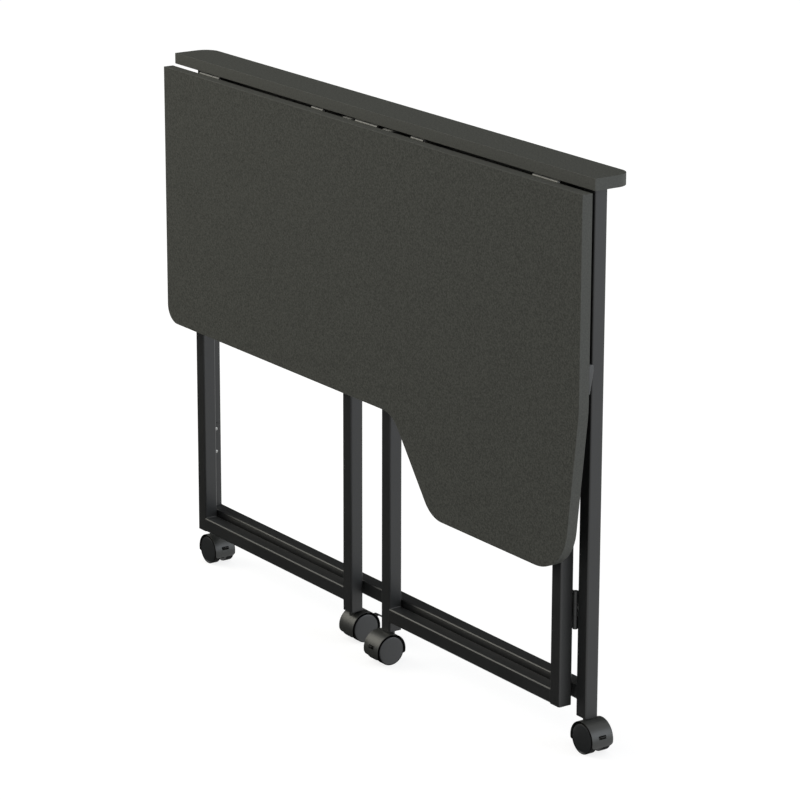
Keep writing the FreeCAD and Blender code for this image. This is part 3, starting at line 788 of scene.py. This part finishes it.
class DESK_OT_levers(bpy.types.Operator):
    """Builds the four brake levers, each an arm with a broad dished tab, the left gate's a longer one"""
    bl_idname = "desk.levers"
    bl_label = "Brake levers"
    butt: length("Butt", "Radius of the lever's round butt", 2.6)
    arm_half: length("Arm half width", "From the middle to the side of the arm", 1.5)
    flare: length("Flare", "From the pivot to where the arm starts to widen", 3.6)
    flare_end: length("Flare end", "From the pivot to where the tab has its full width", 5.6)
    dip: length("Dip", "From the pivot to the middle of the tab's dip", 8.0)
    fall: length("Fall", "How far the dip lies below the pivot", 2.0)
    reach: length("Reach", "From the pivot to the tab's end", 18.4)
    tab_rise: length("Tab rise", "How far the tab's end stands above the dip", 2.2)
    tip: length("Tip", "Length of the rounding at the tab's end", 2.0)
    hump_foot: length("Hump foot", "From the pivot to where the longer lever starts to rise", 14.72)
    hump: length("Hump", "From the pivot to the longer lever's hump", 21.0)
    rise: length("Rise", "How far the longer lever rises to its hump", 2.6)
    droop: length("Droop", "How far the longer lever's end lies below its hump", 3.9)
    long_reach: length("Long reach", "From the pivot to the longer lever's end", 29.5)
    long_thick: length("Long thickness", "Thickness of the longer lever past its slot", 2.8)
    sides: IntProperty(name="Sides", description="Sides of the lever's section", default=16, min=8)

    def execute(self, context):
        sizes = context.scene.desk_casters
        colours = context.scene.desk_colours
        nylon = moulded_plastic("moulded_nylon_lever", colours.lever, dullness=0.45, gloss=0.4)
        for foot in FEET:
            node = "caster_%s_brake_lever" % foot
            place = caster_place(foot)
            pivot = JOINTS[foot + "_brake_press"] - JOINTS[foot + "_wheel_1_spin"]
            out, up = pivot.xy.length, pivot.z
            rings = self.rings(sizes, foot == "gate_left")
            bm = bmesh.new()
            loft(bm, [[place(out + a, w, up + b) for a, w, b in ring] for ring in rings])
            piece(node, bm, nylon, foot + "_brake", [node], sharp=50)
        return {"FINISHED"}

    def rings(self, sizes, long):
        """Rings along the lever from butt to tip, each a flat squarish oval across it."""
        reach = self.long_reach if long else self.reach
        corners = [(math.cos(t), math.sin(t)) for t in sweep(0, 2 * math.pi, self.sides)[:-1]]
        oval = [[math.copysign(math.sqrt(abs(c)), c) for c in corner] for corner in corners]
        rings = []
        for a in sweep(-self.butt, reach, steps=40 if long else 24):
            level = self.tab_rise * eased(a, self.dip, self.reach) - self.fall * eased(a, 0, self.dip)
            half = self.arm_half + (sizes.lever_half - self.arm_half) * eased(a, self.flare, self.flare_end)
            thick = sizes.lever_thick
            thick += (2 * self.butt - thick) * (1 - ramp(a, 0, self.dip / 2))
            if long:
                level += self.rise * eased(a, self.hump_foot, self.hump)
                level -= self.droop * eased(a, self.hump, reach)
                thick += (self.long_thick - sizes.lever_thick) * ramp(a, self.hump_foot, self.hump)
            tip = ramp(a, reach - self.tip, reach)
            butt = ramp(-a, 0, self.butt)
            # The tip keeps part of its width and thickness, and the butt just enough to be closed
            half *= math.sqrt(1 - 0.5 * tip ** 2)
            thick *= math.sqrt(max(0.02, 1 - max(0.8 * tip ** 2, butt ** 2)))
            rings.append([(a, half * c, level + thick / 2 * s) for c, s in oval])
        return rings


# Screws

class DESK_OT_screws(bpy.types.Operator):
    """Builds the cross-recessed screws of the hinges and of the top rail"""
    bl_idname = "desk.screws"
    bl_label = "Screws"
    head: length("Leaf hinge head", "Radius of a leaf hinge screw's countersunk head", 3.0)
    sink: length("Sink", "Depth of a countersunk head", 1.2)
    pan_head: length("Gate hinge head", "Radius of a gate hinge screw's raised head", 2.5)
    pan_rise: length("Gate hinge rise", "Height of a gate hinge screw's head", 1.6)
    rail_head: length("Rail head", "Radius of a rail screw's raised head", 4.0)
    rail_rise: length("Rail rise", "Height of a rail screw's head", 2.4)
    shank: length("Shank", "Radius of a hinge screw's shank", 1.6)
    rail_shank: length("Rail shank", "Radius of a rail screw's shank", 2.0)
    apart: length("Apart", "Points nearer to each other than this belong to one screw", 12.0)
    crown: share("Crown", "Flat face of a raised head as a share of its radius", 0.55)
    crown_fall: share("Crown fall", "Rounded part of a raised head's height", 0.8)
    point: share("Point", "Radius of a shank's end as a share of the shank's", 0.3)
    recess: share("Recess", "Reach of the cross in a countersunk head as a share of its radius", 0.58)
    raised_recess: share("Raised recess", "Reach of a raised head's cross as a share of its radius", 0.5104)
    arm: share("Arm", "Half width of the cross as a share of its reach", 0.3)
    cross_foot: share("Cross foot", "Size of the cross at its foot as a share of that at its top", 0.7)
    cross_depth: share("Cross depth", "Depth of the cross as a share of the head's radius", 0.3)
    sides: IntProperty(name="Sides", description="Sides of each round", default=24, min=8)

    def execute(self, context):
        colours = context.scene.desk_colours
        zinc = plated_steel("zinc_plated_steel", colours.zinc)
        nickel = plated_steel("nickel_plated_steel", colours.nickel)
        sunk = (self.sunk_path, self.recess, self.head, self.sink, self.shank)
        pan = (self.raised_path, self.raised_recess, self.pan_head, self.pan_rise, self.shank)
        rail = (self.raised_path, self.raised_recess, self.rail_head, self.rail_rise, self.rail_shank)
        for name, body, facings, plate, (path, recess, head, rise, shank) in (
                ("leaf_hinge_board_screws", "frame", ["-Z"], zinc, sunk),
                ("leaf_hinge_leaf_screws", "leaf", ["+Y"], zinc, sunk),
                ("gate_hinge_post_screws", "frame", ["+X", "-X"], nickel, pan),
                ("gate_hinge_gate_screws", "frame", ["+Y"], nickel, pan),
                ("top_board_screws", "frame", ["-Z"], zinc, rail)):
            bm = bmesh.new()
            for facing in facings:
                for place, depth in self.spots(name, facing):
                    self.screw(bm, place, head, recess, path(head, rise, shank, depth))
            piece(name, bm, plate, body, [name], sharp=35)
        return {"FINISHED"}

    def spots(self, name, facing):
        """For each screw that faces one way, the places about the middle of its face, and its length.

        Screws that face along X look towards the desk's middle, so only those on the far side count.
        """
        out = Vector([float(facing[0] + "1") if axis == facing[1] else 0.0 for axis in "XYZ"])
        side = UP if facing[1] == "X" else Vector((1, 0, 0))
        other = out.cross(side)
        groups = {}
        for vertex in frame["nodes"][name].data.vertices:
            p = vertex.co
            if p.x * out.x > 0:
                continue
            spot = Vector((p.dot(side), p.dot(other)))
            key = next((k for k in groups if (Vector(k) - spot).length < self.apart), tuple(spot))
            groups.setdefault(key, []).append((*spot, p.dot(out)))
        spots = []
        for members in groups.values():
            low, high = ([limit(values) for values in zip(*members)] for limit in (min, max))
            middle = side * (low[0] + high[0]) / 2 + other * (low[1] + high[1]) / 2 + out * high[2]
            spots.append((axes(middle, side, other, out), high[2] - low[2]))
        return spots

    def sunk_path(self, head, rise, shank, depth):
        """(radius, height) path of a countersunk head and a pointed shank."""
        return [(head, 0), (shank, -rise), (shank, shank - depth), (self.point * shank, -depth)]

    def raised_path(self, head, rise, shank, depth):
        """(radius, height) path of a rounded head and a pointed shank."""
        flat, fall = self.crown * head, self.crown_fall * rise
        crown = [(flat + (head - flat) * math.sin(t), -fall * (1 - math.cos(t)))
                 for t in sweep(0, math.pi / 2, steps=4)]
        return [*crown, (head, -rise), (shank, -rise), (shank, shank - depth), (self.point * shank, -depth)]

    def screw(self, bm, place, head, recess, path):
        """One screw with a cross recess in its flat face."""
        reach = recess * head
        thin = self.arm * reach
        cross = [(reach, thin), (thin, thin), (thin, reach),
                 (-thin, reach), (-thin, thin), (-reach, thin),
                 (-reach, -thin), (-thin, -thin), (-thin, -reach),
                 (thin, -reach), (thin, -thin), (reach, -thin)]
        top = [bm.verts.new(place(a, b, 0)) for a, b in cross]
        foot = self.cross_foot
        deep = [bm.verts.new(place(foot * a, foot * b, -self.cross_depth * head)) for a, b in cross]
        half_side = math.pi / self.sides
        turns = sweep(half_side, half_side + 2 * math.pi, self.sides)[:-1]
        rows = [[bm.verts.new(place(r * math.cos(t), r * math.sin(t), h)) for t in turns] for r, h in path]
        for low, high in [*zip(rows, rows[1:]), (top, deep)]:
            for k in range(len(low)):
                bm.faces.new((low[k - 1], low[k], high[k], high[k - 1]))
        bm.faces.new(rows[-1])
        bm.faces.new(deep)
        rims = [bm.edges.get((ring[k - 1], ring[k])) for ring in (rows[0], top) for k in range(len(ring))]
        bmesh.ops.triangle_fill(bm, use_beauty=True, edges=rims)


# Stage

def seen(tree):
    """Output that is one for rays from the camera, off a gloss or through glass, and nought for the rest."""
    path = add(tree, "ShaderNodeLightPath").outputs
    direct = add(tree, "ShaderNodeMath", {"operation": "MAXIMUM"},
                 {0: path["Is Camera Ray"], 1: path["Is Glossy Ray"]})
    return add(tree, "ShaderNodeMath", {"operation": "MAXIMUM"},
               {0: direct.outputs[0], 1: path["Is Transmission Ray"]}).outputs[0]


def grey(level):
    """Linear grey with full alpha."""
    return (level, level, level, 1.0)


class DESK_OT_stage(bpy.types.Operator):
    """Sets up the floor, the soft lights, the white surroundings and the camera"""
    bl_idname = "desk.stage"
    bl_label = "Stage"
    place: position("Camera place", "Where the camera stands", (3.70408, -2.53237, 1.671))
    azimuth: angle("Azimuth", "Turn of the view about the vertical", 55.246)
    pitch: angle("Pitch", "How far the camera looks down", 16.385)
    roll: angle("Roll", "Turn of the picture", -0.146)
    lens: FloatProperty(name="Lens", description="Focal length", default=158.64, min=1.0, unit="CAMERA")
    sky: share("Sky", "Level of the even light from all round", 0.65)
    aim: position("Aim", "Where both lamps point", (0.0, 0.0, 0.4))
    key_place: position("Key place", "Where the lamp at the right stands", (6.0, 3.8, 2.4))
    key_size: length("Key size", "Width of the lamp at the right", 6000)
    key_power: power("Key power", "Power of the lamp at the right", 228.0)
    key_tint: colour("Key tint", "Colour of the lamp at the right", "#EEF6FF")
    fill_place: position("Fill place", "Where the lamp at the front left stands", (-2.6, -1.9, 2.1))
    fill_size: length("Fill size", "Width of the lamp at the front left", 3000)
    fill_power: power("Fill power", "Power of the lamp at the front left", 62.0)
    fill_tint: colour("Fill tint", "Colour of the lamp at the front left", "#FFFBEA")
    floor_radius: length("Floor radius", "Radius of the floor", 20000)
    floor_glow: share("Floor glow", "Light that the floor gives off where it is seen", 0.8)
    floor_shade: share("Floor shade", "Share of the lamps' light that the floor shows where it is seen", 0.3)
    floor_bounce: share("Floor bounce", "Share of the lamps' light that the floor throws back", 0.6)
    front_card: share("Front card", "How bright the card at the front left is in reflections", 0.05)
    back_card: share("Back card", "How bright the card at the back left is in reflections", 0.05)

    # Places of the two cards. The front one's rear edge is given as (x, y) steps from left to right.
    CARD_EDGE = ((-3.4, 0.0), (-0.3, -0.01), (0.05, -0.03), (0.38, 0.0))
    CARD_RIGHT = 0.48
    CARD_FRONT = -3.0
    CARD_LIFT = 0.003
    FRONT_CARD_TOP = 1.2
    BACK_CARD = ((-3.4, 0.2), (-0.2, 3.6))
    BACK_CARD_TOP = 4.5

    def execute(self, context):
        scene = context.scene
        scene.view_settings.view_transform = "Standard"
        self.camera(scene)
        self.floor()
        self.cards()
        self.lamps(scene)
        self.surroundings(scene)
        return {"FINISHED"}

    def camera(self, scene):
        """Camera at the viewing angle, level but for a slight roll."""
        data = bpy.data.cameras.new("camera")
        data.lens = self.lens
        data.sensor_width = 36.0
        data.clip_end = 100.0
        made = bpy.data.objects.new("camera", data)
        upright = math.pi / 2 - self.pitch
        turn = Matrix.Rotation(self.azimuth, 4, "Z") @ Matrix.Rotation(upright, 4, "X")
        made.matrix_world = Matrix.Translation(self.place) @ turn @ Matrix.Rotation(-self.roll, 4, "Z")
        scene.collection.objects.link(made)
        scene.camera = made

    def floor(self):
        """Pale floor, seen as white apart from the desk's soft shadow."""
        bm = bmesh.new()
        bmesh.ops.create_circle(bm, cap_ends=True, segments=64, radius=self.floor_radius)
        material, tree = blank("pale_floor")
        shade = add(tree, "ShaderNodeBsdfDiffuse", {}, {"Color": grey(self.floor_shade)})
        glow = add(tree, "ShaderNodeEmission", {}, {"Strength": self.floor_glow})
        pale = add(tree, "ShaderNodeAddShader", {}, {0: shade.outputs[0], 1: glow.outputs[0]})
        plain = add(tree, "ShaderNodeBsdfDiffuse", {}, {"Color": grey(self.floor_bounce)})
        mixed = add(tree, "ShaderNodeMixShader", {}, {0: seen(tree), 1: plain.outputs[0], 2: pale.outputs[0]})
        add(tree, "ShaderNodeOutputMaterial", {}, {"Surface": mixed.outputs[0]})
        made = placed("floor", bm, material)

    def cards(self):
        """Dark cards at the left that only reflections show, as a studio uses to keep dark sides dark."""
        plan = []
        for (start, y), (end, _) in zip(self.CARD_EDGE, (*self.CARD_EDGE[1:], (self.CARD_RIGHT, 0))):
            plan += [(start, y), (end, y)]
        rear_left = plan[0]
        front_left = (rear_left[0], self.CARD_FRONT)
        plan += [(self.CARD_RIGHT, self.CARD_FRONT), front_left]
        front = [[(x, y, self.CARD_LIFT) for x, y in plan],
                 self.upright_card(rear_left, front_left, self.FRONT_CARD_TOP)]
        back = [self.upright_card(*self.BACK_CARD, self.BACK_CARD_TOP)]
        for name, faces, level in (("front_card", front, self.front_card),
                                   ("back_card", back, self.back_card)):
            bm = bmesh.new()
            for face in faces:
                bm.faces.new([bm.verts.new(p) for p in face])
            material, tree = blank(name + "_cloth")
            glow = add(tree, "ShaderNodeEmission", {}, {"Color": grey(level)})
            add(tree, "ShaderNodeOutputMaterial", {}, {"Surface": glow.outputs[0]})
            made = placed(name, bm, material)
            made.visible_camera = False
            made.visible_diffuse = False
            made.visible_transmission = False
            made.visible_shadow = False

    def upright_card(self, start, end, top):
        """Corners of a card that stands on the floor between two (x, y) places."""
        return [(*start, self.CARD_LIFT), (*end, self.CARD_LIFT), (*end, top), (*start, top)]

    def lamps(self, scene):
        """A broad soft lamp at the right, and a smaller one at the front left."""
        for name, place, size, watts, tint in (
                ("key", self.key_place, self.key_size, self.key_power, self.key_tint),
                ("fill", self.fill_place, self.fill_size, self.fill_power, self.fill_tint)):
            data = bpy.data.lights.new(name, "AREA")
            data.shape = "DISK"
            data.size = size
            data.energy = watts
            data.color = tint[:3]
            made = bpy.data.objects.new(name, data)
            made.location = place
            made.rotation_euler = (Vector(self.aim) - Vector(place)).to_track_quat("-Z", "Y").to_euler()
            scene.collection.objects.link(made)

    def surroundings(self, scene):
        """White where it is seen or mirrored, and a plain grey light elsewhere."""
        world = bpy.data.worlds.new("surroundings")
        scene.world = world
        world.use_nodes = True
        tree = world.node_tree
        tree.nodes.clear()
        level = add(tree, "ShaderNodeMapRange", {}, {"Value": seen(tree), "To Min": self.sky, "To Max": 1.0})
        sky = add(tree, "ShaderNodeBackground", {}, {"Color": grey(1.0), "Strength": level.outputs[0]})
        add(tree, "ShaderNodeOutputWorld", {}, {"Surface": sky.outputs[0]})


class DESK_PT_panel(bpy.types.Panel):
    """Lists the desk's pieces and the sizes and colours that they are built from"""
    bl_idname = "DESK_PT_panel"
    bl_label = "Folding corner desk"
    bl_space_type = "VIEW_3D"
    bl_region_type = "UI"
    bl_category = "Desk"

    def draw(self, context):
        for operator in OPERATORS:
            self.layout.operator(operator.bl_idname)
        for group in GROUPS:
            sizes = getattr(context.scene, group)
            for name in sizes.__annotations__:
                self.layout.prop(sizes, name)


GROUPS = {"desk_boards": DeskBoardSizes, "desk_casters": DeskCasterSizes, "desk_colours": DeskColours}
OPERATORS = (DESK_OT_boards, DESK_OT_gate_stops, DESK_OT_frames, DESK_OT_plugs, DESK_OT_welds,
             DESK_OT_hinges, DESK_OT_screws, DESK_OT_hoods, DESK_OT_wheels, DESK_OT_levers, DESK_OT_stage)
CLASSES = (*GROUPS.values(), *OPERATORS, DESK_PT_panel)


def register():
    for kind in CLASSES:
        bpy.utils.register_class(kind)
    for name, group in GROUPS.items():
        setattr(bpy.types.Scene, name, PointerProperty(type=group))


def unregister():
    for name in GROUPS:
        delattr(bpy.types.Scene, name)
    for kind in reversed(CLASSES):
        bpy.utils.unregister_class(kind)


def main():
    register()
    for operator in OPERATORS:
        getattr(bpy.ops.desk, operator.bl_idname.split(".")[1])()


if __name__ == "__main__":
    main()
